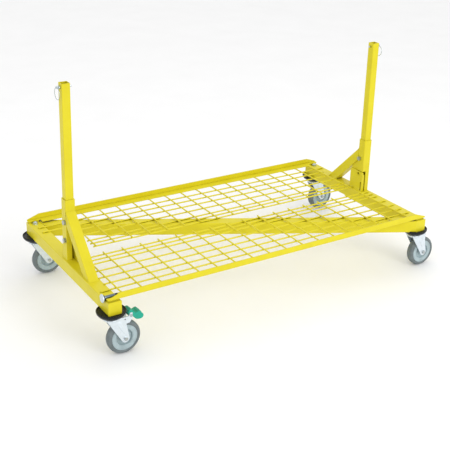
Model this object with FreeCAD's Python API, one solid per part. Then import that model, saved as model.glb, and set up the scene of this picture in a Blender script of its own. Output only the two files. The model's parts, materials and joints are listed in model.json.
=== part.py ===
import FreeCAD, Part
import math
import os

os.makedirs("parts", exist_ok=True)
V = FreeCAD.Vector

# ---- driving dimensions, mm.  Working axes: x from the left foot's outer face, ----
# ---- y from the feet's front ends, z from the floor                            ----
FRAME_LEN = 1467.0      # outer face to outer face of the feet
FOOT_LEN = 769.0
FOOT = 50.8             # square tube of the feet and of the diagonal rail
FOOT_WALL = 2.5
FOOT_TOP = 225.8
FOOT_BOT = FOOT_TOP - FOOT
PLATE_T = 3.0           # plates that close the feet

SOCKET = 38.1           # sleeve that takes the mast
SOCKET_BORE = 32.3
SOCKET_TOP = 467.0
MAST = 31.75
MAST_WALL = 2.0
MAST_BOT = 344.0
MAST_TOP = 904.0
BRACE = 38.1
BRACE_WALL = 2.5
BRACE_JOIN = 423.0      # height at which the brace's upper face meets the socket
STRIP = 20.5            # depth of the socket left standing beside the stub bracket
NOTCH_TOP = 321.0
GUSSET_T = 5.0          # plate that closes the corner under the brace

BRACKET_T = 6.0
BRACKET_REACH = 62.0    # past the post's centre, on the brace's side
BRACKET_TOP = 318.0
BOLT_R = 5.0
BOLT_AF = 17.0
BOLT_OFF = 8.0          # bolts stand this far from the post's centre
BOSS_R = 8.0            # sleeve behind the bracket's round hole
BOSS_RIM_R = 11.0
BOSS_BORE_R = 6.6
BOLT_Z_UP = 378.0
BOLT_Z_LOW = 306.0

EDGE_OUT = 4.0          # edge angles: outer face, in from the foot's end
EDGE_IN = 42.0          # inner edge of the flat leg between the feet
EDGE_IN_FOOT = 20.0     # and over the feet, where it clears the caster nuts
EDGE_T = 3.0
EDGE_BOT = 231.8
EDGE_TOP = 255.2
EDGE_SHY = 1.0          # the angles stop this far short of the feet's outer faces
EDGE_TAPER = 50.0       # the standing leg's corners are sloped off over this length
EDGE_DROP = 18.0

WIRE_R = 3.0
WIRE_PITCH = 78.3
WIRE_FIRST = 68.0
WIRE_COUNT = 18
WIRE_FREE = 354.0       # the cross wires' free ends
LONG_WIRES = [84.0, 130.0, 178.0, 230.0, 288.0, 317.0, 345.0]
WIRE_OVER = 12.0        # where the first long wire starts on the foot's top
WIRE_END = 20.0         # where the long wires end, in from the far foot's outer face
WIRE_CUT = 138.0        # rear panel: where the others stop short of the left post
WIRE_SHORT = 46.0       # where it ends beside the brace and the bracket
WELD_SINK = 0.6         # crossing wires are pressed this far into each other

SWIVEL_IN = 25.4        # swivel axis in from the foot's outer face
SWIVEL_END = 33.5       # and from the foot's end
WHEEL_R = 63.5
WHEEL_HALF = 16.0
CORE_R = 49.0
TRAIL = 44.4
STEM_R = 8.0
THREAD_R = 6.0
RUN = 0.05              # running clearance on radius
DISC_R = 53.0
DISC_BOT = 157.0
CROWN_BOT = 145.0
CROWN_TOP = 149.0
LEG_IN = 19.0
LEG_OUT = 22.0
AXLE_R = 4.0
SLEEVE_R = 6.0
LEG_END_R = 15.0
PEDAL_X = 66.0          # brake pedal pivot from the swivel axis
PEDAL_Z = 150.0
SHOE_X = 40.0

PIN_R = 4.0
PIN_Z = 889.0
RING_R = 22.0
RING_WIRE_R = 1.25
EYE_X = 11.5            # ring eye, outboard of the mast's face

MID_X = (SWIVEL_IN - DISC_R + FRAME_LEN - SWIVEL_IN + TRAIL + WHEEL_R) / 2.0
MID_Y = FOOT_LEN / 2.0
POST_X = FOOT / 2.0
POST_Y = FOOT_LEN / 2.0


def box(x0, x1, y0, y1, z0, z1):
    return Part.makeBox(x1 - x0, y1 - y0, z1 - z0, V(x0, y0, z0))


def rod(r, x, y, z, length, axis):
    return Part.makeCylinder(r, length, V(x, y, z), axis)


def fuse(shapes):
    first = shapes[0]
    if len(shapes) == 1:
        return first
    return first.multiFuse(shapes[1:]).removeSplitter()


def flat_solid(points, axis_from, extrude):
    """Prism from a closed outline given as vectors, moved by axis_from."""
    wire = Part.makePolygon([p.add(axis_from) for p in points + [points[0]]])
    return Part.Face(wire).extrude(extrude)


def turned(profile, centre, axis):
    """Solid of revolution: profile is [(radius, height)], height runs along axis."""
    pts = [V(r, 0, h) for r, h in profile]
    face = Part.Face(Part.makePolygon(pts + [pts[0]]))
    solid = face.revolve(V(0, 0, 0), V(0, 0, 1), 360)
    turn = FreeCAD.Rotation(V(0, 0, 1), axis)
    solid.Placement = FreeCAD.Placement(centre, turn)
    return solid


def hexagon(af, x, y, z, height, axis, spin=0.0):
    """Hexagonal prism standing on (x, y, z)."""
    rad = af / math.sqrt(3.0)
    pts = []
    for k in range(6):
        a = math.radians(60 * k + spin)
        pts.append(V(rad * math.cos(a), rad * math.sin(a), 0))
    solid = Part.Face(Part.makePolygon(pts + [pts[0]])).extrude(V(0, 0, height))
    turn = FreeCAD.Rotation(V(0, 0, 1), axis)
    solid.Placement = FreeCAD.Placement(V(x, y, z), turn)
    return solid


def half_turn(shape):
    """The matching piece at the other end of the trolley."""
    other = shape.copy()
    other.rotate(V(FRAME_LEN / 2.0, FOOT_LEN / 2.0, 0), V(0, 0, 1), 180)
    return other


def save(node, shape):
    shape = shape.copy()
    shape.translate(V(-MID_X, -MID_Y, 0))
    shape.exportStep("parts/" + node + ".step")


def long_edges(shape, axis, longer):
    found = []
    for e in shape.Edges:
        d = e.Vertexes[-1].Point.sub(e.Vertexes[0].Point)
        if d.Length > longer and abs(d.dot(axis)) > 0.999 * d.Length:
            found.append(e)
    return found


def square_tube(size, wall, length, corner):
    """Square tube along +X from the origin, centred on its axis."""
    h = size / 2.0
    outer = box(0, length, -h, h, -h, h)
    outer = outer.makeFillet(corner, long_edges(outer, V(1, 0, 0), length * 0.9))
    i = h - wall
    inner = box(-1, length + 1, -i, i, -i, i)
    return outer.cut(inner)


# ---- feet, with holes for the caster stems ----
def foot_tube():
    tube = square_tube(FOOT, FOOT_WALL, FOOT_LEN - 2 * PLATE_T, 3.0)
    tube.rotate(V(0, 0, 0), V(0, 0, 1), 90)
    tube.translate(V(FOOT / 2.0, PLATE_T, FOOT_TOP - FOOT / 2.0))
    for y in (SWIVEL_END, FOOT_LEN - SWIVEL_END):
        low = rod(STEM_R + 0.2, SWIVEL_IN, y, FOOT_BOT - 1, FOOT_WALL + 2, V(0, 0, 1))
        top = rod(THREAD_R + 0.2, SWIVEL_IN, y, FOOT_TOP - 4, 6, V(0, 0, 1))
        tube = tube.cut(low).cut(top)
    return tube


foot_left = foot_tube()
save("foot_tube_left", foot_left)
save("foot_tube_right", half_turn(foot_left))

plates = []
for y0 in (0.0, FOOT_LEN - PLATE_T):
    plate = box(0, FOOT, y0, y0 + PLATE_T, FOOT_BOT, FOOT_TOP)
    corners = long_edges(plate, V(0, 1, 0), PLATE_T * 0.9)
    plate = plate.makeFillet(3.0, corners)
    plates.append(plate)
    plates.append(half_turn(plate))
save("foot_end_plates", Part.makeCompound(plates))

# ---- diagonal rail, mitred against the inner faces of both feet ----
REACH_X = FRAME_LEN - 2 * FOOT
RAIL_ANGLE = math.degrees(math.atan2(FOOT_LEN - FOOT, REACH_X))
for _ in range(20):
    half_cut = FOOT / 2.0 / math.cos(math.radians(RAIL_ANGLE))
    RAIL_ANGLE = math.degrees(math.atan2(FOOT_LEN - 2 * half_cut, REACH_X))
RAIL_LEN = REACH_X + 500.0
rail = square_tube(FOOT, FOOT_WALL, RAIL_LEN, 3.0)
rail.translate(V(-RAIL_LEN / 2.0, 0, 0))
rail.rotate(V(0, 0, 0), V(0, 0, 1), -RAIL_ANGLE)
rail.translate(V(FRAME_LEN / 2.0, FOOT_LEN / 2.0, FOOT_TOP - FOOT / 2.0))
between_feet = box(FOOT, FRAME_LEN - FOOT, -50, FOOT_LEN + 50, 0, 400)
rail = rail.common(between_feet)
save("diagonal_rail", rail)

# ---- left post: socket, stub bracket, brace and mast.  The brace runs to the front. ----
SX0 = POST_X - SOCKET / 2.0
SX1 = POST_X + SOCKET / 2.0
SY0 = POST_Y - SOCKET / 2.0
SY1 = POST_Y + SOCKET / 2.0
BOLT_Y = POST_Y - BOLT_OFF


def upright_tube(size, bore, z0, z1, corner):
    h = size / 2.0
    b = bore / 2.0
    outer = box(POST_X - h, POST_X + h, POST_Y - h, POST_Y + h, z0, z1)
    outer = outer.makeFillet(corner, long_edges(outer, V(0, 0, 1), 100))
    return outer.cut(box(POST_X - b, POST_X + b, POST_Y - b, POST_Y + b, z0 - 1, z1 + 1))


socket = upright_tube(SOCKET, SOCKET_BORE, FOOT_TOP, SOCKET_TOP, 2.0)
notch = flat_solid(
    [V(SX0 + STRIP, 0, FOOT_TOP - 1),
     V(SX1 + 1, 0, FOOT_TOP - 1),
     V(SX1 + 1, 0, NOTCH_TOP),
     V(SX0 + STRIP, 0, NOTCH_TOP)],
    V(0, SY0 - 1, 0), V(0, SOCKET + 2, 0))
socket = socket.cut(notch)
for z in (BOLT_Z_UP, BOLT_Z_LOW):
    socket = socket.cut(rod(BOLT_R + 0.1, SX0 - 1, BOLT_Y, z, SOCKET + 2, V(1, 0, 0)))
save("post_socket_left", socket)
save("post_socket_right", half_turn(socket))

BR_X0 = SX1 - BRACKET_T
BR_Y0 = POST_Y - BRACKET_REACH
BR_Y1 = SY1
plate = box(BR_X0, SX1, BR_Y0, BR_Y1, FOOT_TOP, BRACKET_TOP)
top_corners = []
for e in long_edges(plate, V(1, 0, 0), BRACKET_T * 0.9):
    if e.Vertexes[0].Point.z > BRACKET_TOP - 1:
        top_corners.append(e)
plate = plate.makeFillet(11.0, top_corners)
flange = box(SX0 + STRIP + 4.0, BR_X0 + 1, BR_Y1 - 6.5, BR_Y1 - 2.0, FOOT_TOP, BRACKET_TOP - 14)
boss_len = SX1 - (SX0 + 3.0)
boss = rod(BOSS_R, SX0 + 3.0, BOLT_Y, BOLT_Z_LOW, boss_len, V(1, 0, 0))
rim = rod(BOSS_RIM_R, SX1 - 1, BOLT_Y, BOLT_Z_LOW, 2.2, V(1, 0, 0))
bracket = fuse([plate, flange, boss, rim])
bore = rod(BOSS_BORE_R, SX0, BOLT_Y, BOLT_Z_LOW, SOCKET + 4, V(1, 0, 0))
bracket = bracket.cut(bore)
slit_y = POST_Y + 7.5
slit = box(BR_X0 - 1, SX1 + 1, slit_y, slit_y + 5.0, FOOT_TOP + 3, FOOT_TOP + 44)
bracket = bracket.cut(slit)
save("stub_bracket_left", bracket)
save("stub_bracket_right", half_turn(bracket))

fall = BRACE_JOIN - FOOT_TOP
thick = BRACE * math.sqrt(2.0)


def brace_prism(inset, x0, x1):
    step = inset * math.sqrt(2.0)
    far = SY0 - fall + step
    near = SY0 - fall + thick - step
    pts = [V(0, SY0, BRACE_JOIN - step), V(0, far, FOOT_TOP),
           V(0, near, FOOT_TOP), V(0, SY0, BRACE_JOIN - thick + step)]
    return flat_solid(pts, V(x0, 0, 0), V(x1 - x0, 0, 0))


brace = brace_prism(0.0, SX0, SX1)
slopes = []
for e in brace.Edges:
    d = e.Vertexes[-1].Point.sub(e.Vertexes[0].Point)
    if d.Length > 100 and abs(d.x) < 0.01 and abs(abs(d.y) - abs(d.z)) < 0.5:
        slopes.append(e)
brace = brace.makeFillet(2.0, slopes)
brace = brace.cut(brace_prism(BRACE_WALL, SX0 + BRACE_WALL, SX1 - BRACE_WALL))
save("brace_left", brace)
save("brace_right", half_turn(brace))

under = BRACE_JOIN - thick
GUSSET_BOT = BRACKET_TOP - 10.0
gy = BR_Y0 + 2.0
gusset = flat_solid(
    [V(0, gy, GUSSET_BOT), V(0, SY0, GUSSET_BOT), V(0, SY0, under), V(0, gy, under - (SY0 - gy))],
    V(BR_X0 - GUSSET_T, 0, 0), V(GUSSET_T, 0, 0))
save("gusset_left", gusset)
save("gusset_right", half_turn(gusset))

mast = upright_tube(MAST, MAST - 2 * MAST_WALL, MAST_BOT, MAST_TOP, 1.5)
mast = mast.cut(rod(BOLT_R + 0.1, SX0, BOLT_Y, BOLT_Z_UP, SOCKET, V(1, 0, 0)))
mast = mast.cut(rod(PIN_R + RUN, SX0, POST_Y, PIN_Z, SOCKET, V(1, 0, 0)))
save("mast_left", mast)
save("mast_right", half_turn(mast))


# ---- post bolts: hexagon head and washer on the outer face ----
def post_bolt(z, tip):
    washer = rod(10.0, SX0 - 1.5, BOLT_Y, z, 1.5, V(1, 0, 0))
    head = hexagon(BOLT_AF, SX0 - 7.9, BOLT_Y, z, 6.4, V(1, 0, 0), 30)
    shank = rod(BOLT_R, SX0 - 2, BOLT_Y, z, tip - SX0 + 2, V(1, 0, 0))
    return fuse([washer, head, shank])


upper = post_bolt(BOLT_Z_UP, SX1 + 10)
nut = hexagon(BOLT_AF, SX1, BOLT_Y, BOLT_Z_UP, 8.0, V(1, 0, 0), 30)
upper = fuse([upper, nut])
save("post_bolts_upper", Part.makeCompound([upper, half_turn(upper)]))
lower = post_bolt(BOLT_Z_LOW, SX0 + 9)
save("post_bolts_lower", Part.makeCompound([lower, half_turn(lower)]))


# ---- edge angles: one leg stands at the outer side, the other lies flat towards the mesh ----
edge_len = FRAME_LEN - 2 * EDGE_SHY
edge = flat_solid(
    [V(0, EDGE_OUT, EDGE_BOT), V(0, EDGE_IN, EDGE_BOT), V(0, EDGE_IN, EDGE_BOT + EDGE_T),
     V(0, EDGE_OUT + EDGE_T, EDGE_BOT + EDGE_T), V(0, EDGE_OUT + EDGE_T, EDGE_TOP),
     V(0, EDGE_OUT, EDGE_TOP)],
    V(EDGE_SHY, 0, 0), V(edge_len, 0, 0))
heel = []
for e in long_edges(edge, V(1, 0, 0), 100):
    p = e.Vertexes[0].Point
    if abs(p.y - EDGE_OUT) < 0.01 and abs(p.z - EDGE_BOT) < 0.01:
        heel.append(e)
edge = edge.makeFillet(2.0, heel)
slope_off = flat_solid(
    [V(0, 0, EDGE_TOP - EDGE_DROP), V(EDGE_SHY + EDGE_TAPER, 0, EDGE_TOP),
     V(EDGE_SHY + EDGE_TAPER, 0, EDGE_TOP + 5), V(0, 0, EDGE_TOP + 5)],
    V(0, 0, 0), V(0, 10, 0))
other_slope = slope_off.mirror(V(FRAME_LEN / 2.0, 0, 0), V(1, 0, 0))
edge = edge.cut(slope_off).cut(other_slope)
for x0 in (0.0, FRAME_LEN - FOOT - 2.0):
    edge = edge.cut(box(x0, x0 + FOOT + 2.0, EDGE_IN_FOOT, EDGE_IN + 1, EDGE_BOT - 1, EDGE_TOP))
save("edge_angle_front", edge)
save("edge_angle_rear", half_turn(edge))

pads = []
for x0 in (5.0, FRAME_LEN - 46.0):
    pad = box(x0, x0 + 41.0, 8.0, EDGE_IN_FOOT, FOOT_TOP, EDGE_BOT)
    pads.append(pad)
    pads.append(half_turn(pad))
save("edge_seat_pads", Part.makeCompound(pads))

# ---- mesh panels: long wires lie on the feet and the rail, cross wires on top ----
LONG_Z = FOOT_TOP + WIRE_R
CROSS_Z = LONG_Z + 2 * WIRE_R - WELD_SINK


def mesh_panel(cross_count, cut_from):
    """Long wires from number cut_from on stop short; the rest reach the far foot."""
    wires = []
    for k, y in enumerate(LONG_WIRES):
        start = WIRE_OVER if k == 0 else WIRE_SHORT
        end = FRAME_LEN - (WIRE_CUT if k >= cut_from else WIRE_END)
        wires.append(rod(WIRE_R, start, y, LONG_Z, end - start, V(1, 0, 0)))
    for k in range(cross_count):
        x = WIRE_FIRST + WIRE_PITCH * k
        wires.append(rod(WIRE_R, x, EDGE_IN, CROSS_Z, WIRE_FREE - EDGE_IN, V(0, 1, 0)))
    return fuse(wires)


save("mesh_panel_front", mesh_panel(WIRE_COUNT, len(LONG_WIRES)))
save("mesh_panel_rear", half_turn(mesh_panel(WIRE_COUNT - 1, 2)))

# ---- casters ----
CASTERS = {
    "lf": (SWIVEL_IN, SWIVEL_END),
    "rf": (FRAME_LEN - SWIVEL_IN, SWIVEL_END),
    "lr": (SWIVEL_IN, FOOT_LEN - SWIVEL_END),
    "rr": (FRAME_LEN - SWIVEL_IN, FOOT_LEN - SWIVEL_END),
}

GAP = 0.6
beams = fuse([
    box(-GAP, FOOT + GAP, -GAP, FOOT_LEN + GAP, FOOT_BOT, FOOT_TOP),
    box(FRAME_LEN - FOOT - GAP, FRAME_LEN + GAP, -GAP, FOOT_LEN + GAP, FOOT_BOT, FOOT_TOP)])
rail_room = box(-RAIL_LEN / 2, RAIL_LEN / 2, -FOOT / 2 - GAP, FOOT / 2 + GAP, FOOT_BOT, FOOT_TOP)
rail_room.rotate(V(0, 0, 0), V(0, 0, 1), -RAIL_ANGLE)
rail_room.translate(V(FRAME_LEN / 2.0, FOOT_LEN / 2.0, 0))
rail_room = rail_room.common(between_feet)

DISC = [(STEM_R + 0.2, DISC_BOT), (26, DISC_BOT), (38, DISC_BOT + 1.5), (46, DISC_BOT + 6),
        (51.3, DISC_BOT + 12.5), (DISC_R, FOOT_BOT - 0.5), (DISC_R, FOOT_BOT + 3),
        (DISC_R - 1.2, FOOT_BOT + 4.2), (DISC_R - 3.2, FOOT_BOT + 3.2),
        (DISC_R - 3.8, FOOT_BOT), (STEM_R + 0.2, FOOT_BOT)]

leg_cy = WHEEL_R


def tangent(px, pz, side):
    """Point where a line from (px, pz) touches the leg's rounded end."""
    dx = TRAIL - px
    dz = leg_cy - pz
    dist = math.hypot(dx, dz)
    aim = math.atan2(dz, dx) + side * math.asin(LEG_END_R / dist)
    run = math.sqrt(dist * dist - LEG_END_R * LEG_END_R)
    return (px + run * math.cos(aim), pz + run * math.sin(aim))


def side_prism(points):
    return flat_solid([V(x, 0, z) for x, z in points], V(0, -40, 0), V(0, 80, 0))


def fork_shape(braked):
    """Stamped fork: a U section trimmed to its side outline, plus the crown's round."""
    outer = box(-40, 90, -LEG_OUT, LEG_OUT, 40, 165 if braked else CROWN_TOP)
    if braked:
        outer = outer.cut(box(50, 90, -LEG_IN, LEG_IN, 39, 166))
        outer = outer.cut(box(-41, 50, -41, 41, CROWN_TOP, 166))
    ridge = []
    for e in long_edges(outer, V(1, 0, 0), 60):
        p = e.Vertexes[0].Point
        if abs(p.z - CROWN_TOP) < 0.01 and abs(abs(p.y) - LEG_OUT) < 0.01:
            ridge.append(e)
    if not braked:
        outer = outer.makeFillet(4.0, ridge)
    outer = outer.cut(box(-41, 91, -LEG_IN, LEG_IN, 39, CROWN_BOT))
    lead = tangent(-26.0, CROWN_TOP, -1)
    trail = tangent(47.5, 122.0, 1)
    outline = [(-26, CROWN_TOP), (50, CROWN_TOP), (47.5, 122), trail, (TRAIL, leg_cy), lead]
    side = side_prism(outline)
    end = rod(LEG_END_R, TRAIL, -40, leg_cy, 80, V(0, 1, 0))
    parts = [side, end]
    if braked:
        ear = [(40, CROWN_TOP), (57, CROWN_TOP), (62.5, 161), (71, 161), (73, 140),
               (60, 124), (47.5, 122), (40, 130)]
        parts.append(side_prism(ear))
    fork = outer.common(fuse(parts))
    crown = rod(30.0, 0, 0, CROWN_BOT, CROWN_TOP - CROWN_BOT, V(0, 0, 1))
    fork = fuse([fork, crown])
    fork = fork.cut(rod(STEM_R + RUN, 0, 0, CROWN_BOT - 1, 6, V(0, 0, 1)))
    fork = fork.cut(rod(AXLE_R + 0.1, TRAIL, -40, leg_cy, 80, V(0, 1, 0)))
    if braked:
        fork = fork.cut(rod(PIN_R + 0.1, PEDAL_X, -40, PEDAL_Z, 80, V(0, 1, 0)))
        fork = fork.cut(rod(2.5, 43, -40, 140, 80, V(0, 1, 0)))
        fork = fork.cut(rod(3.0 + RUN, SHOE_X, 0, CROWN_BOT - 1, 6, V(0, 0, 1)))
    return fork


def stem_shape(thread_top):
    return turned([(0, 139), (12, 139), (13, 140), (13, 144.6), (STEM_R, 144.6), (STEM_R, 150),
                   (24, 150), (25, 151), (25, DISC_BOT), (STEM_R, DISC_BOT),
                   (STEM_R, FOOT_TOP - FOOT_WALL - 0.2), (THREAD_R, FOOT_TOP - FOOT_WALL - 0.2),
                   (THREAD_R, thread_top), (0, thread_top)], V(0, 0, 0), V(0, 0, 1))


def cap_nut():
    washer = rod(11.0, 0, 0, FOOT_TOP, 1.5, V(0, 0, 1))
    base = hexagon(19.0, 0, 0, FOOT_TOP + 1.5, 5.0, V(0, 0, 1), 0)
    dome = Part.makeSphere(9.0, V(0, 0, FOOT_TOP + 2.0))
    dome = dome.common(box(-12, 12, -12, 12, FOOT_TOP + 2.0, FOOT_TOP + 12))
    nut_shape = fuse([washer, base, dome])
    return nut_shape.cut(rod(THREAD_R + 0.1, 0, 0, FOOT_TOP - 1, 7.2, V(0, 0, 1)))


def axle_shape():
    sleeve = rod(SLEEVE_R, TRAIL, -LEG_IN, WHEEL_R, 2 * LEG_IN, V(0, 1, 0))
    bolt = rod(AXLE_R, TRAIL, -LEG_OUT - 1, WHEEL_R, 2 * LEG_OUT + 9, V(0, 1, 0))
    head = hexagon(13.0, TRAIL, -LEG_OUT - 5.3, WHEEL_R, 5.3, V(0, 1, 0))
    nut_end = hexagon(13.0, TRAIL, LEG_OUT, WHEEL_R, 6.5, V(0, 1, 0))
    return fuse([sleeve, bolt, head, nut_end])


def core_shape():
    prof = [(SLEEVE_R + RUN, -18.4), (13, -18.4), (14.5, -17), (16, -6), (29, -5), (31, -13),
            (32.5, -14), (CORE_R, -14), (CORE_R, 14), (32.5, 14), (31, 13), (29, 5), (16, 6),
            (14.5, 17), (13, 18.4), (SLEEVE_R + RUN, 18.4)]
    return turned(prof, V(TRAIL, 0, WHEEL_R), V(0, 1, 0))


def tyre_shape():
    pts = [V(CORE_R, 0, -14.5), V(51, 0, -WHEEL_HALF), V(56, 0, -WHEEL_HALF), V(WHEEL_R, 0, -4),
           V(WHEEL_R, 0, 4), V(56, 0, WHEEL_HALF), V(51, 0, WHEEL_HALF), V(CORE_R, 0, 14.5)]
    edges = [Part.makeLine(pts[0], pts[1]), Part.makeLine(pts[1], pts[2])]
    edges.append(Part.Arc(pts[2], V(61.4, 0, -11.6), pts[3]).toShape())
    edges.append(Part.makeLine(pts[3], pts[4]))
    edges.append(Part.Arc(pts[4], V(61.4, 0, 11.6), pts[5]).toShape())
    edges += [Part.makeLine(pts[5], pts[6]), Part.makeLine(pts[6], pts[7])]
    edges.append(Part.makeLine(pts[7], pts[0]))
    solid = Part.Face(Part.Wire(edges)).revolve(V(0, 0, 0), V(0, 0, 1), 360)
    turn = FreeCAD.Rotation(V(0, 0, 1), V(0, 1, 0))
    solid.Placement = FreeCAD.Placement(V(TRAIL, 0, WHEEL_R), turn)
    return solid


def at(shape, spot):
    moved = shape.copy()
    moved.translate(V(spot[0], spot[1], 0))
    return moved


nuts = []
for name, spot in CASTERS.items():
    disc = at(turned(DISC, V(0, 0, 0), V(0, 0, 1)), spot)
    disc = disc.cut(beams)
    if name in ("lr", "rf"):
        disc = disc.cut(rail_room)
    save("bumper_disc_" + name, disc)
    pinned = name == "lf"
    save("caster_stem_" + name, at(stem_shape(FOOT_TOP if pinned else FOOT_TOP + 5.5), spot))
    save("fork_" + name, at(fork_shape(pinned), spot))
    save("axle_" + name, at(axle_shape(), spot))
    save("wheel_core_" + name, at(core_shape(), spot))
    save("tyre_" + name, at(tyre_shape(), spot))
    if not pinned:
        nuts.append(at(cap_nut(), spot))
save("caster_cap_nuts", Part.makeCompound(nuts))

# ---- brake on the left-front caster ----
lf = CASTERS["lf"]
PEDAL = [(57.5, 150), (57, 158), (60.5, 167), (67, 170), (75, 164), (81, 156), (88, 152.5),
         (95, 155.5), (102, 156), (109, 149), (117, 134), (114, 127.5), (101, 124.5),
         (86, 129), (75, 140), (66, 142)]
curve = Part.BSplineCurve()
curve.interpolate(Points=[V(x, -18.4, z) for x, z in PEDAL], PeriodicFlag=True)
pedal = Part.Face(Part.Wire([curve.toShape()])).extrude(V(0, 36.8, 0))
pedal = pedal.makeFillet(2.0, [e for e in pedal.Edges if abs(e.Length) > 100])
pedal = pedal.cut(rod(PIN_R + RUN, PEDAL_X, -30, PEDAL_Z, 60, V(0, 1, 0)))
save("brake_pedal", at(pedal, lf))

pivot = rod(PIN_R, PEDAL_X, -LEG_OUT - 1, PEDAL_Z, 2 * LEG_OUT + 2, V(0, 1, 0))
cap_a = rod(5.6, PEDAL_X, -LEG_OUT - 1.6, PEDAL_Z, 1.6, V(0, 1, 0))
cap_b = rod(5.6, PEDAL_X, LEG_OUT, PEDAL_Z, 1.6, V(0, 1, 0))
save("brake_pivot", at(fuse([pivot, cap_a, cap_b]), lf))

pad = box(SHOE_X - 7, SHOE_X + 14, -14, 14, 131.4, 137)
guide = rod(3.0, SHOE_X, 0, 136, 17, V(0, 0, 1))
save("brake_shoe", at(fuse([pad, guide]), lf))

# ---- plated pin across the left-front corner ----
CP_R = 6.5
CP_Z = FOOT_TOP + 6.6
corner_pin = turned([(0, -10), (14.5, -10), (16, -8.5), (16, -6.5), (14.5, -5), (9, -5),
                     (CP_R, -4), (CP_R, 40), (0, 40)], V(0, SWIVEL_END, CP_Z), V(1, 0, 0))
sleeve_low = turned([(CP_R, -3.5), (11, -3.5), (11, -0.5), (CP_R, -0.5)],
                    V(0, SWIVEL_END, CP_Z), V(1, 0, 0))
end_cap = turned([(0, 40), (6.6, 40), (6.6, 49), (5.5, 51), (0, 51)],
                 V(0, SWIVEL_END, CP_Z), V(1, 0, 0))
save("corner_pin", corner_pin)
save("corner_pin_sleeves", Part.makeCompound([sleeve_low, end_cap]))

# ---- pull pins through the masts, each with a wire ring in its eye ----
FACE_X = POST_X - MAST / 2.0
pin = turned([(0, -5.2), (7, -5.2), (7, -0.2), (PIN_R, -0.2), (PIN_R, MAST + 9),
              (PIN_R - 1.5, MAST + 11), (0, MAST + 11)],
             V(FACE_X, POST_Y, PIN_Z), V(1, 0, 0))
tab = box(FACE_X - EYE_X, FACE_X - 4, POST_Y - 2.5, POST_Y + 2.5, PIN_Z - 5, PIN_Z + 5)
tab_end = rod(5.0, FACE_X - EYE_X, POST_Y - 2.5, PIN_Z, 5, V(0, 1, 0))
pin = fuse([pin, tab, tab_end])
pin = pin.cut(rod(RING_WIRE_R + 0.5, FACE_X - EYE_X, POST_Y - 6, PIN_Z, 12, V(0, 1, 0)))
save("pull_pin_left", pin)
save("pull_pin_right", half_turn(pin))

ring = Part.makeTorus(RING_R, RING_WIRE_R, V(FACE_X - EYE_X, POST_Y, PIN_Z - RING_R), V(1, 0, 0))
save("pin_ring_left", ring)
save("pin_ring_right", half_turn(ring))
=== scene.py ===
import bpy
import json
import math
import random
from mathutils import Matrix, Vector


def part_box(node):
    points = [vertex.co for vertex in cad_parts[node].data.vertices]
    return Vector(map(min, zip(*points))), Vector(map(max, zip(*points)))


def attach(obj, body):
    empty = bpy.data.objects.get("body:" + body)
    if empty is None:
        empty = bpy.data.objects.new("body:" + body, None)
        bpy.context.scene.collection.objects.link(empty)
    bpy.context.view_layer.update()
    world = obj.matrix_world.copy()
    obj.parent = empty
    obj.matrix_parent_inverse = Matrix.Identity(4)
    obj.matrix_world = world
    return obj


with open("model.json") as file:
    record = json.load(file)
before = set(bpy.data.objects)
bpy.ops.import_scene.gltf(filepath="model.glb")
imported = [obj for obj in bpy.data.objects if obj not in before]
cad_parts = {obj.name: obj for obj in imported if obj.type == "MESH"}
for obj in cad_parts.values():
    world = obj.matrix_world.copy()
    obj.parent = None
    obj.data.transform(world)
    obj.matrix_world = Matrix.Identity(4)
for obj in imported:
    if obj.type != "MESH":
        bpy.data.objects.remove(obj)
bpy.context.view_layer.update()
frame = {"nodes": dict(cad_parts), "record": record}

NODES = frame["nodes"]
random.seed(11)

# ------------------------------------------------------------------ materials


def start(name, colour, metallic, roughness):
    m = bpy.data.materials.new(name)
    m.use_nodes = True
    n, l = m.node_tree.nodes, m.node_tree.links
    s = n["Principled BSDF"]
    s.inputs["Base Color"].default_value = (*colour, 1)
    s.inputs["Metallic"].default_value = metallic
    s.inputs["Roughness"].default_value = roughness
    where = n.new("ShaderNodeTexCoord").outputs["Object"]
    return m, n, l, s, where


def noise(n, l, where, scale, detail=3.0, rough=0.55, stretch=None):
    t = n.new("ShaderNodeTexNoise")
    t.inputs["Scale"].default_value = scale
    t.inputs["Detail"].default_value = detail
    t.inputs["Roughness"].default_value = rough
    if stretch:
        mp = n.new("ShaderNodeMapping")
        mp.inputs["Scale"].default_value = stretch
        l.new(where, mp.inputs["Vector"])
        where = mp.outputs["Vector"]
    l.new(where, t.inputs["Vector"])
    return t.outputs["Fac"]


def ramp(n, l, fac, stops):
    r = n.new("ShaderNodeValToRGB")
    e = r.color_ramp.elements
    while len(e) < len(stops):
        e.new(0.5)
    for k, (pos, col) in enumerate(stops):
        e[k].position = pos
        e[k].color = (*col, 1) if len(col) == 3 else col
    l.new(fac, r.inputs["Fac"])
    return r.outputs["Color"]


def span(n, l, fac, low, high, a=0.3, b=0.7):
    r = n.new("ShaderNodeMapRange")
    r.inputs["From Min"].default_value = a
    r.inputs["From Max"].default_value = b
    r.inputs["To Min"].default_value = low
    r.inputs["To Max"].default_value = high
    l.new(fac, r.inputs["Value"])
    return r.outputs["Result"]


def relief(n, l, s, height, distance, strength=1.0, edge=None):
    b = n.new("ShaderNodeBump")
    b.inputs["Distance"].default_value = distance
    b.inputs["Strength"].default_value = strength
    l.new(height, b.inputs["Height"])
    if edge:
        v = n.new("ShaderNodeBevel")
        v.samples = 4
        v.inputs["Radius"].default_value = edge
        l.new(v.outputs["Normal"], b.inputs["Normal"])
    l.new(b.outputs["Normal"], s.inputs["Normal"])


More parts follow.
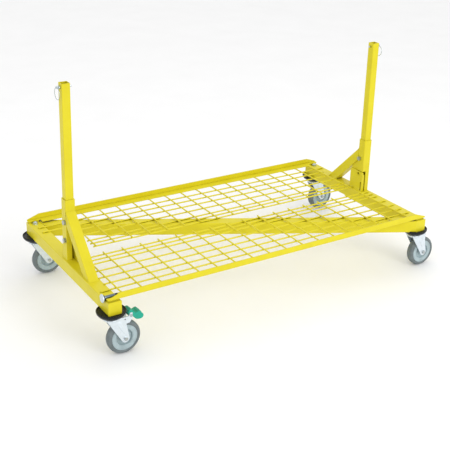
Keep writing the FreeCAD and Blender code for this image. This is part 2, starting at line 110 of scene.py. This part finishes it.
def powder_coat():
    """Gloss yellow powder coat: orange peel about 2 mm across, faint mottling, and painted shade darkening
    the colour in joints, slits and holes.
    """
    m, n, l, s, w = start("yellow_powder_coat", (0.67, 0.585, 0.022), 0.0, 0.40)
    s.inputs["Specular IOR Level"].default_value = 0.22
    s.inputs["Coat Weight"].default_value = 0.06
    s.inputs["Coat Roughness"].default_value = 0.12
    tone = noise(n, l, w, 14.0, 4.0)
    coat = ramp(n, l, tone, [(0.3, (0.655, 0.563, 0.012)), (0.7, (0.695, 0.607, 0.018))])
    painted_shade_ao = n.new("ShaderNodeAmbientOcclusion")      # painted shade: ambient occlusion darkens the coat colour in joints, slits and holes
    painted_shade_ao.samples = 8
    painted_shade_ao.inputs["Distance"].default_value = 0.012
    painted_shade_tint = ramp(n, l, painted_shade_ao.outputs["AO"], [(0.15, (0.16, 0.12, 0.10)), (0.62, (1.0, 1.0, 1.0))])
    # multiply the painted shade into the coat colour
    mix = n.new("ShaderNodeMix")
    mix.data_type = "RGBA"
    mix.blend_type = "MULTIPLY"
    mix.inputs["Factor"].default_value = 1.0
    l.new(coat, mix.inputs["A"])
    l.new(painted_shade_tint, mix.inputs["B"])
    l.new(mix.outputs["Result"], s.inputs["Base Color"])
    l.new(span(n, l, noise(n, l, w, 60.0), 0.34, 0.44), s.inputs["Roughness"])
    relief(n, l, s, noise(n, l, w, 620.0, 2.0), 0.00012, 0.55, 0.0009)
    return m


def zinc(name, colour, rough, metal):
    """Bright zinc plate: pale blue-white, soft cloudy sheen, faint rolling lines."""
    m, n, l, s, w = start(name, colour, metal, rough)
    cloud = noise(n, l, w, 55.0, 5.0)
    low = tuple(c * 0.93 for c in colour)
    high = tuple(min(1.0, c * 1.04) for c in colour)
    l.new(ramp(n, l, cloud, [(0.3, low), (0.7, high)]), s.inputs["Base Color"])
    l.new(span(n, l, noise(n, l, w, 160.0, 4.0), rough - 0.06, rough + 0.08), s.inputs["Roughness"])
    relief(n, l, s, noise(n, l, w, 900.0, 3.0, 0.6, (1, 1, 0.12)), 0.00004, 0.5, 0.0006)
    return m


def pin_steel(node):
    """Pale blue-grey head running into a dark shank, split where the collar starts: painted reflection, the
    pale head standing in for a sky reflection and the dark shank for dark reflections and shade.
    """
    m, n, l, s, w = start("pin_steel", (0.5, 0.5, 0.5), 0.85, 0.30)
    head = NODES[node].matrix_world.inverted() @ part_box(node)[0]
    part = n.new("ShaderNodeSeparateXYZ")
    l.new(w, part.inputs["Vector"])
    along = span(n, l, part.outputs["X"], 0.0, 1.0, head.x + 0.004, head.x + 0.016)
    # painted reflection and shade: pale blue-grey head, dark shank
    l.new(ramp(n, l, along, [(0.0, (0.62, 0.70, 0.76)), (1.0, (0.13, 0.17, 0.20))]), s.inputs["Base Color"])
    relief(n, l, s, noise(n, l, w, 900.0, 3.0), 0.00003, 0.5, 0.0006)
    return m


def chrome():
    """Bright nickel-chrome with a very fine polish grain."""
    m, n, l, s, w = start("bright_chrome", (0.50, 0.56, 0.58), 1.0, 0.16)
    l.new(span(n, l, noise(n, l, w, 300.0, 4.0), 0.11, 0.22), s.inputs["Roughness"])
    relief(n, l, s, noise(n, l, w, 1400.0, 2.0), 0.00002, 0.4, 0.0004)
    return m


def plastic(name, colour, rough, peel, depth, edge=0.0006, specular=0.5):
    """Moulded plastic: fine eroded texture and slight tone drift."""
    m, n, l, s, w = start(name, colour, 0.0, rough)
    s.inputs["Specular IOR Level"].default_value = specular
    tone = noise(n, l, w, 35.0, 4.0)
    low = tuple(c * 0.88 for c in colour)
    high = tuple(min(1.0, c * 1.12) for c in colour)
    l.new(ramp(n, l, tone, [(0.3, low), (0.7, high)]), s.inputs["Base Color"])
    l.new(span(n, l, noise(n, l, w, 220.0), rough - 0.05, rough + 0.07), s.inputs["Roughness"])
    relief(n, l, s, noise(n, l, w, peel, 3.0), depth, 0.6, edge)
    return m


def rubber():
    """Grey tyre rubber: matt, faintly dusty, with scuffs running round the tread."""
    m, n, l, s, w = start("grey_tyre_rubber", (0.14, 0.165, 0.17), 0.0, 0.68)
    dust = noise(n, l, w, 40.0, 6.0, 0.6)
    l.new(ramp(n, l, dust, [(0.30, (0.115, 0.140, 0.145)), (0.72, (0.175, 0.205, 0.21))]),
          s.inputs["Base Color"])
    l.new(span(n, l, noise(n, l, w, 150.0), 0.60, 0.78), s.inputs["Roughness"])
    relief(n, l, s, noise(n, l, w, 1100.0, 4.0, 0.65, (1, 0.25, 1)), 0.00010, 0.6, 0.0005)
    return m


YELLOW = powder_coat()
ZINC = zinc("bright_zinc", (0.72, 0.79, 0.84), 0.34, 0.75)
BOLT = zinc("zinc_bolts", (0.44, 0.47, 0.47), 0.32, 0.95)
PIN = pin_steel("corner_pin")
CHROME = chrome()
BLACK = plastic("black_bumper_plastic", (0.008, 0.010, 0.013), 0.30, 1500.0, 0.00004,
                specular=0.20)
TYRE = rubber()
CORE = plastic("grey_wheel_plastic", (0.36, 0.45, 0.47), 0.46, 1300.0, 0.00004)
GREEN = plastic("green_pedal_plastic", (0.0, 0.34, 0.23), 0.38, 1200.0, 0.00005, 0.0012)
SHOE = plastic("black_shoe_rubber", (0.02, 0.02, 0.02), 0.7, 1500.0, 0.00006)

LOOK = {
    "yellow_paint": YELLOW, "zinc": ZINC, "bright_plate": CHROME, "black_plastic": BLACK,
    "tread": TYRE, "wheel_grey": CORE, "pedal_green": GREEN, "shoe_rubber": SHOE,
}
SLOT_OF = {p["node"]: p["material_slot"] for p in frame["record"]["subparts"]}
for name, obj in NODES.items():
    look = LOOK[SLOT_OF[name]]
    if name.startswith(("post_bolts", "axle", "brake_pivot")):
        look = BOLT
    if name == "corner_pin":
        look = PIN
    if not obj.material_slots:
        obj.data.materials.append(look)
    for s in obj.material_slots:
        s.material = look

# ------------------------------------------------------------- building tools


def piece(name, verts, faces, look, body, smooth=True):
    mesh = bpy.data.meshes.new(name)
    mesh.from_pydata([tuple(v) for v in verts], [], faces)
    mesh.update()
    for p in mesh.polygons:
        p.use_smooth = smooth
    mesh.materials.append(look)
    obj = bpy.data.objects.new(name, mesh)
    bpy.context.scene.collection.objects.link(obj)
    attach(obj, body)
    return obj


class Shape:
    """Gathers vertices and faces of several runs into one mesh."""

    def __init__(self):
        self.v = []
        self.f = []

    def ring_strip(self, rings, closed, capped=True):
        base, n = len(self.v), len(rings[0])
        for r in rings:
            self.v += r
        count = len(rings)
        for i in range(count if closed else count - 1):
            a, b = base + i * n, base + ((i + 1) % count) * n
            for k in range(n):
                j = (k + 1) % n
                self.f.append((a + k, a + j, b + j, b + k))
        if capped and not closed:
            self.f.append(tuple(base + k for k in reversed(range(n))))
            last = base + (count - 1) * n
            self.f.append(tuple(last + k for k in range(n)))

    def sweep(self, path, radius, sides=8, closed=False, flat=1.0, up=Vector((0, 0, 1))):
        """Round run along path; radius is a number or a function of the station."""
        rings = []
        n = len(path)
        for i, p in enumerate(path):
            a = path[(i - 1) % n] if closed or i else path[0]
            b = path[(i + 1) % n] if closed or i < n - 1 else path[-1]
            d = (b - a).normalized()
            side = d.cross(up)
            side = side.normalized() if side.length > 1e-6 else d.orthogonal().normalized()
            over = side.cross(d).normalized()
            r = radius(i) if callable(radius) else radius
            ring = []
            for k in range(sides):
                t = 2 * math.pi * k / sides
                ring.append(p + side * (r * math.cos(t)) + over * (r * flat * math.sin(t)))
            rings.append(ring)
        self.ring_strip(rings, closed)

    def bead(self, path, r):
        """Weld bead: overlapping ripples about 2.6 mm apart, swelling and thinning a little."""
        pts = []
        for a, b in zip(path, path[1:]):
            n = max(2, int((b - a).length / 0.0007))
            pts += [a.lerp(b, k / n) for k in range(n)]
        pts.append(path[-1])
        phase = random.random() * 6
        n = len(pts)

        def size(i):
            end = min(1.0, min(i, n - 1 - i) / 4.0 + 0.45)
            swell = 1.0 + 0.08 * math.sin(i * 0.077 + phase)
            return r * end * swell * (0.90 + 0.13 * abs(math.sin(i * 0.84)))

        self.sweep(pts, size, 7)

    def blob(self, c, rx, ry, rz):
        base = len(self.v)
        rows, cols = 4, 8
        self.v.append(c + Vector((0, 0, rz)))
        for i in range(1, rows):
            t = math.pi * i / rows
            for k in range(cols):
                u = 2 * math.pi * k / cols
                self.v.append(c + Vector((rx * math.sin(t) * math.cos(u),
                                          ry * math.sin(t) * math.sin(u), rz * math.cos(t))))
        self.v.append(c - Vector((0, 0, rz)))
        last = len(self.v) - 1
        for k in range(cols):
            j = (k + 1) % cols
            self.f.append((base, base + 1 + k, base + 1 + j))
            for i in range(rows - 2):
                a = base + 1 + i * cols
                self.f.append((a + k, a + cols + k, a + cols + j, a + j))
            a = base + 1 + (rows - 2) * cols
            self.f.append((a + k, last, a + j))

    def spin(self, profile, centre, axis, steps=64):
        """Lathe: profile is [(radius, along)], closed on itself."""
        rings = []
        x = axis.orthogonal().normalized()
        y = axis.cross(x).normalized()
        for i in range(steps):
            t = 2 * math.pi * i / steps
            out = x * math.cos(t) + y * math.sin(t)
            rings.append([centre + out * r + axis * h for r, h in profile])
        self.ring_strip(rings, True)

    def thread(self, centre, axis, r, pitch, length):
        """Screw thread ridge standing on a shank of radius r."""
        x = axis.orthogonal().normalized()
        y = axis.cross(x).normalized()
        rings = []
        steps = int(length / pitch * 20)
        for i in range(steps + 1):
            t = 2 * math.pi * i / 20
            h = pitch * i / 20
            out = x * math.cos(t) + y * math.sin(t)
            grow = min(1.0, i / 8.0, (steps - i) / 8.0)
            tip = out * (r + 0.00045 * max(0.1, grow))
            rings.append([centre + out * (r - 0.0003) + axis * (h - pitch * 0.35), centre + tip + axis * h,
                          centre + out * (r - 0.0003) + axis * (h + pitch * 0.35)])
        self.ring_strip(rings, False)

    def build(self, name, look, body, slot, smooth=True):
        return piece(name, self.v, self.f, look, body, smooth)


# ------------------------------------------------- sizes shared with the frame
FOOT_LO, FOOT_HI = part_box("foot_tube_left")
FAR_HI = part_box("foot_tube_right")[1]
TOP, BOT = FOOT_HI.z, FOOT_LO.z
INNER = FOOT_HI.x                                   # inner face of the left foot
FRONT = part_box("foot_end_plates")[0].y              # front faces of the feet
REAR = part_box("foot_end_plates")[1].y
MID = Vector(((FOOT_LO.x + FAR_HI.x) / 2, (FRONT + REAR) / 2, 0))
FOOT_W = INNER - FOOT_LO.x
WELD = 0.0019


def end_of(points, flip):
    """Points near the left foot and the front panel, or the same points half a turn about the middle."""
    pts = [Vector(p) for p in points]
    if not flip:
        return pts
    return [Vector((2 * MID.x - p.x, 2 * MID.y - p.y, p.z)) for p in pts]


STRIP = 0.0205                                      # socket wall left standing beside the bracket
PLATE_T = 0.006                                     # the bracket's plate

ENDS = ((False, "left"), (True, "right"))
PANELS = ((False, "front"), (True, "rear"))

# ---------------------------------------------------------------- weld beads
for flip, side in ENDS:
    s_lo, s_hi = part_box("post_socket_left")
    b_lo, b_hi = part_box("stub_bracket_left")
    r_lo, r_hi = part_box("brace_left")
    cut = (s_hi.x - s_lo.x) * math.sqrt(2)          # the brace's section cut at 45 degrees
    strip = s_lo.x + STRIP
    w = Shape()

    def run(points, r=WELD):
        w.bead(end_of(points, flip), r)

    run([(strip, s_lo.y, TOP), (s_lo.x, s_lo.y, TOP), (s_lo.x, s_hi.y, TOP), (strip, s_hi.y, TOP)])
    run([(s_hi.x, b_lo.y, TOP), (s_hi.x, s_hi.y, TOP)])
    run([(s_hi.x - PLATE_T, b_lo.y, TOP), (s_hi.x - PLATE_T, s_lo.y + 0.004, TOP)], 0.0016)
    near = r_lo.y + cut
    run([(s_lo.x, near, TOP), (s_lo.x, r_lo.y, TOP), (s_hi.x, r_lo.y, TOP), (s_hi.x, near, TOP),
         (s_lo.x, near, TOP)])
    over, under = r_hi.z, r_hi.z - cut
    run([(s_lo.x, s_lo.y, under), (s_lo.x, s_lo.y, over), (s_hi.x, s_lo.y, over),
         (s_hi.x, s_lo.y, under), (s_lo.x, s_lo.y, under)], 0.0015)
    w.build("weld_beads_post_" + side, YELLOW, "base", "yellow_paint")

RAIL_LO, RAIL_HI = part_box("diagonal_rail")
slope = math.atan2(REAR - FRONT - FOOT_W, RAIL_HI.x - RAIL_LO.x)
for _ in range(20):
    slope = math.atan2(REAR - FRONT - FOOT_W / math.cos(slope), RAIL_HI.x - RAIL_LO.x)
mitre = FOOT_W / math.cos(slope)                    # length of the rail's cut along the foot
for flip, side in ENDS:
    w = Shape()
    near = RAIL_HI.y - mitre
    ring = [(INNER, near, BOT), (INNER, near, TOP), (INNER, RAIL_HI.y - 0.002, TOP)]
    w.bead(end_of(ring, flip), WELD)
    ring = [(INNER, near, BOT), (INNER, RAIL_HI.y - 0.002, BOT)]
    w.bead(end_of(ring, flip), WELD)
    w.build("weld_beads_rail_" + side, YELLOW, "base", "yellow_paint")

PAD_OUT, PAD_LEN, PAD_Y = 0.005, 0.041, (0.008, 0.020)   # seat pads under the edge angles
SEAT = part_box("edge_angle_front")[0].z
for flip, side in PANELS:
    w = Shape()
    for foot_out, to in ((FOOT_LO.x, 1), (FAR_HI.x, -1)):
        a, b = foot_out + to * PAD_OUT, foot_out + to * (PAD_OUT + PAD_LEN)
        y0, y1 = FRONT + PAD_Y[0], FRONT + PAD_Y[1]
        w.bead(end_of([(a, y0, TOP), (b, y0, TOP), (b, y1, TOP), (a, y1, TOP), (a, y0, TOP)], flip), 0.0015)
        w.bead(end_of([(a, y0, SEAT), (b, y0, SEAT)], flip), 0.0014)
        w.bead(end_of([(a, y1, SEAT), (b, y1, SEAT)], flip), 0.0012)
    w.build("weld_beads_edge_angle_" + side, YELLOW, "base", "yellow_paint")

for flip, side in ENDS:
    g_lo, g_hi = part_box("gusset_left")
    w = Shape()
    drop = g_hi.y - g_lo.y
    face = g_hi.x                                   # the bracket's plate stands here, in front of the gusset
    w.bead(end_of([(face, g_lo.y + 0.002, g_hi.z - drop + 0.002), (face, g_hi.y, g_hi.z),
                   (face, g_hi.y, g_lo.z + 0.014)], flip), 0.0014)
    w.build("weld_beads_gusset_" + side, YELLOW, "base", "yellow_paint")

# ---------------------------------------------------------------- mesh welds
WIRE_R = 0.003
LONG_WIRES = [0.084, 0.130, 0.178, 0.230, 0.288, 0.317, 0.345]      # in from the feet's ends
WIRE_FIRST, WIRE_PITCH, WIRE_COUNT = 0.068, 0.0783, 18
WIRE_START, WIRE_SHORT = 0.012, 0.046               # the first long wire and the others, on the left foot
FAR_TACK = 0.022                                    # last tack, in from the far foot's outer face
REAR_LONG = 2                                       # long wires of the rear panel that reach the far foot
SINK = 0.0006                                       # crossing wires are pressed this far into each other
EDGE_IN = 0.042                                     # where the cross wires butt on the edge angle
CROSS_LIFT = 3 * WIRE_R - SINK
for flip, side in PANELS:
    w = Shape()
    for k in range(WIRE_COUNT - 1 if flip else WIRE_COUNT):
        x = FOOT_LO.x + WIRE_FIRST + WIRE_PITCH * k
        for y in LONG_WIRES:
            c = end_of([(x, FRONT + y, TOP + 2 * WIRE_R - SINK / 2)], flip)[0]
            g = random.uniform(0.85, 1.15)
            w.blob(c, 0.0037 * g, 0.0037 * g, 0.0013)
        c = end_of([(x, FRONT + EDGE_IN, TOP + CROSS_LIFT - 0.0006)], flip)[0]
        w.blob(c, 0.0046, 0.0030, 0.0034)
    w.build("weld_nuggets_mesh_" + side, YELLOW, "base", "yellow_paint")

    w = Shape()
    for j, y in enumerate(LONG_WIRES):
        short = FOOT_LO.x + (WIRE_SHORT if j else WIRE_START)
        spots = [short + 0.002]
        if not flip or j < REAR_LONG:
            spots += [FAR_HI.x - FAR_TACK, FAR_HI.x - FOOT_W + 0.006]
        spots.append(MID.x + (MID.y - FRONT - y) / math.tan(slope))
        if not j:
            spots.append(INNER - 0.006)
        for x in spots:
            for off in (-1, 1):
                c = end_of([(x, FRONT + y + off * 0.0024, TOP + 0.0006)], flip)[0]
                w.blob(c, 0.0052 * random.uniform(0.85, 1.2), 0.0022, 0.0015)
    w.build("weld_tacks_mesh_" + side, YELLOW, "base", "yellow_paint")

# ------------------------------------------------------------------- casters
LEG_FACE = 0.022                                    # outer faces of the fork legs, from the middle
RIB_RISE, RIB_SINK = 0.0018, 0.0006                 # pressed rib: crest, and depth of its edges in the leg
RIB_ROWS, RIB_COLS = 22, 11
WHEEL_STEPS = 96
# Raised rings on the wheel: inner and outer radius, root and crest from the wheel's middle plane.
TYRE_RING = (0.0524, 0.0542, 0.0157, 0.0164)
FACE_RINGS = ((0.0452, 0.0476, 0.0136, 0.0146), (0.0330, 0.0346, 0.0136, 0.0145),
              (0.0085, 0.0122, 0.0180, 0.0187))


def raised_ring(r0, r1, base, proud, face):
    """Profile of a low ring with sloped shoulders; face is -1 or 1 for the wheel's side."""
    slant = 0.0004
    return [(r0, face * base), (r0 + slant, face * proud), (r1 - slant, face * proud), (r1, face * base)]


for spot in ("lf", "rf", "lr", "rr"):
    a_lo, a_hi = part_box("axle_" + spot)
    hub = Vector(((a_lo.x + a_hi.x) / 2, 0, (a_lo.z + a_hi.z) / 2))
    stem_lo, stem_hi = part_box("caster_stem_" + spot)
    pin = (stem_lo + stem_hi) / 2
    hub.y = pin.y
    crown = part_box("fork_" + spot)[1].z if spot != "lf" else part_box("fork_rf")[1].z

    ribs = Shape()
    for face in (-1, 1):
        head = Vector((pin.x + 0.016, pin.y + face * LEG_FACE, crown - 0.013))
        foot = Vector((hub.x - 0.001, pin.y + face * LEG_FACE, hub.z + 0.019))
        along = foot - head
        across = Vector((along.z, 0, -along.x)).normalized()
        rings = []
        for i in range(RIB_ROWS + 1):
            t = i / RIB_ROWS
            half = 0.0088 - 0.0038 * t
            fade = math.sin(math.pi * t) ** 0.28 if 0 < t < 1 else 0.0
            ring = []
            for k in range(RIB_COLS):
                u = 2 * k / (RIB_COLS - 1) - 1
                rise = RIB_RISE * fade * (1 - abs(u) ** 6) - RIB_SINK
                wide = half * (0.35 + 0.65 * fade)
                ring.append(head + along * t + across * (u * wide) + Vector((0, face * rise, 0)))
            ring.append(head + along * t + across * half * 0.3 - Vector((0, face * 0.0012, 0)))
            ring.append(head + along * t - across * half * 0.3 - Vector((0, face * 0.0012, 0)))
            rings.append(ring)
        ribs.ring_strip(rings, False)
    ribs.build("fork_leg_ribs_" + spot, ZINC, "caster_" + spot, "zinc")

    race = Shape()
    z = Vector((0, 0, 1))
    top = crown - 0.0005
    race.spin([(0.0262, top), (0.0262, top + 0.0022), (0.0272, top + 0.0034), (0.0288, top + 0.0034),
               (0.0306, top + 0.0018), (0.0309, top - 0.002), (0.0298, top - 0.0032),
               (0.0280, top - 0.0026)], Vector((pin.x, pin.y, 0)), z, 72)
    race.build("swivel_race_lip_" + spot, ZINC, "caster_" + spot, "zinc")

    tip = Shape()
    tip.thread(Vector((hub.x, a_hi.y - 0.0015, hub.z)), Vector((0, 1, 0)), 0.004, 0.00125, 0.0015)
    tip.build("axle_thread_" + spot, BOLT, "caster_" + spot, "zinc")

    y = Vector((0, 1, 0))
    side_rings, face_rings = Shape(), Shape()
    for face in (-1, 1):
        side_rings.spin(raised_ring(*TYRE_RING, face), hub, y, WHEEL_STEPS)
        for sizes in FACE_RINGS:
            face_rings.spin(raised_ring(*sizes, face), hub, y, WHEEL_STEPS)
    side_rings.build("tyre_side_rings_" + spot, TYRE, "wheel_" + spot, "tread")
    face_rings.build("wheel_face_rings_" + spot, CORE, "wheel_" + spot, "wheel_grey")

# --------------------------------------------------------------- bolt threads
POST_BOLT_R, POST_BOLT_PITCH = 0.005, 0.0015
POST_BOLT_OFF = 0.008                               # bolts stand this far from the post's centre
THREAD_FROM, THREAD_LEN = 0.008, 0.002              # beyond the socket's inner face
nut_lo, nut_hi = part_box("post_bolts_upper")
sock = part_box("post_socket_left")
level = (nut_lo.z + nut_hi.z) / 2
for flip, side in ENDS:
    t = Shape()
    tip = end_of([(sock[1].x + THREAD_FROM, (sock[0].y + sock[1].y) / 2 - POST_BOLT_OFF, level)], flip)[0]
    t.thread(tip, Vector((-1 if flip else 1, 0, 0)), POST_BOLT_R, POST_BOLT_PITCH, THREAD_LEN)
    t.build("post_bolt_thread_" + side, BOLT, "base", "zinc")

# ---------------------------------------------------------------- brake pedal
p_lo, p_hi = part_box("brake_pivot")
pivot = (p_lo + p_hi) / 2
GRIP_AT = ((0.029, 0.0055), (0.036, 0.006), (0.043, -0.001),        # on the toe, from the pivot
           (-0.0055, 0.017), (0.001, 0.020), (0.009, 0.014))        # on the hump
grip = Shape()
for dx, dz in GRIP_AT:
    row = [pivot + Vector((dx, -0.0145 + 0.0029 * k, dz)) for k in range(11)]
    grip.sweep(row, lambda i: 0.0011 * (0.55 if i in (0, 10) else 1.0), 10)
grip.build("pedal_grip_ribs", GREEN, "brake_pedal", "pedal_green")

# ------------------------------------------------------------------- camera
cam_data = bpy.data.cameras.new("camera")
cam = bpy.data.objects.new("camera", cam_data)
bpy.context.scene.collection.objects.link(cam)
bpy.context.scene.camera = cam
YAW, PITCH, ROLL = 0.57314, 0.35156, 0.02937       # from +Y towards +X, downwards, and about the view axis
CAMERA_AT = (-1.9203, -2.8831, 1.7676)
ahead = Vector((math.sin(YAW) * math.cos(PITCH), math.cos(YAW) * math.cos(PITCH), -math.sin(PITCH)))
right = Vector((math.cos(YAW), -math.sin(YAW), 0))
up = right.cross(ahead)
r2 = right * math.cos(ROLL) + up * math.sin(ROLL)
u2 = up * math.cos(ROLL) - right * math.sin(ROLL)
turn = Matrix((r2, u2, -ahead)).transposed()
cam.matrix_world = Matrix.Translation(CAMERA_AT) @ turn.to_4x4()
cam_data.lens = 72.94
cam_data.sensor_width = 36.0
cam_data.shift_y = -0.15
cam_data.clip_start = 0.05
cam_data.clip_end = 60.0

# ------------------------------------------------------------ floor and light
bpy.ops.mesh.primitive_plane_add(size=60.0, location=(0, 0, -0.0004))
floor = bpy.context.object
floor.name = "floor"
fm, fn, fl, fs, fw = start("pale_floor", (0.90, 0.90, 0.90), 0.0, 0.75)
fl.new(ramp(fn, fl, noise(fn, fl, fw, 3.0), [(0.3, (0.90, 0.90, 0.90)), (0.7, (0.92, 0.92, 0.92))]),
       fs.inputs["Base Color"])
fs.inputs["Specular IOR Level"].default_value = 0.1
floor.data.materials.append(fm)

world = bpy.data.worlds.new("studio")
bpy.context.scene.world = world
world.use_nodes = True
bg = world.node_tree.nodes["Background"]
bg.inputs["Color"].default_value = (1.0, 1.0, 1.0, 1)
bg.inputs["Strength"].default_value = 1.0


def softbox(name, where, aim, size, watts):
    d = bpy.data.lights.new(name, "AREA")
    d.energy = watts
    d.size = size
    o = bpy.data.objects.new(name, d)
    o.location = where
    o.rotation_mode = "QUATERNION"
    o.rotation_quaternion = (Vector(aim) - Vector(where)).to_track_quat("-Z", "Y")
    bpy.context.scene.collection.objects.link(o)


softbox("key_front", (0.9, -4.6, 2.4), (0, 0, 0.3), 2.6, 78.0)
softbox("fill_left", (-4.5, -1.5, 2.6), (0, 0, 0.3), 3.0, 9.0)
softbox("top", (0.5, 0.6, 4.2), (0, 0, 0.2), 3.2, 12.0)
bpy.context.scene.view_settings.view_transform = "Standard"
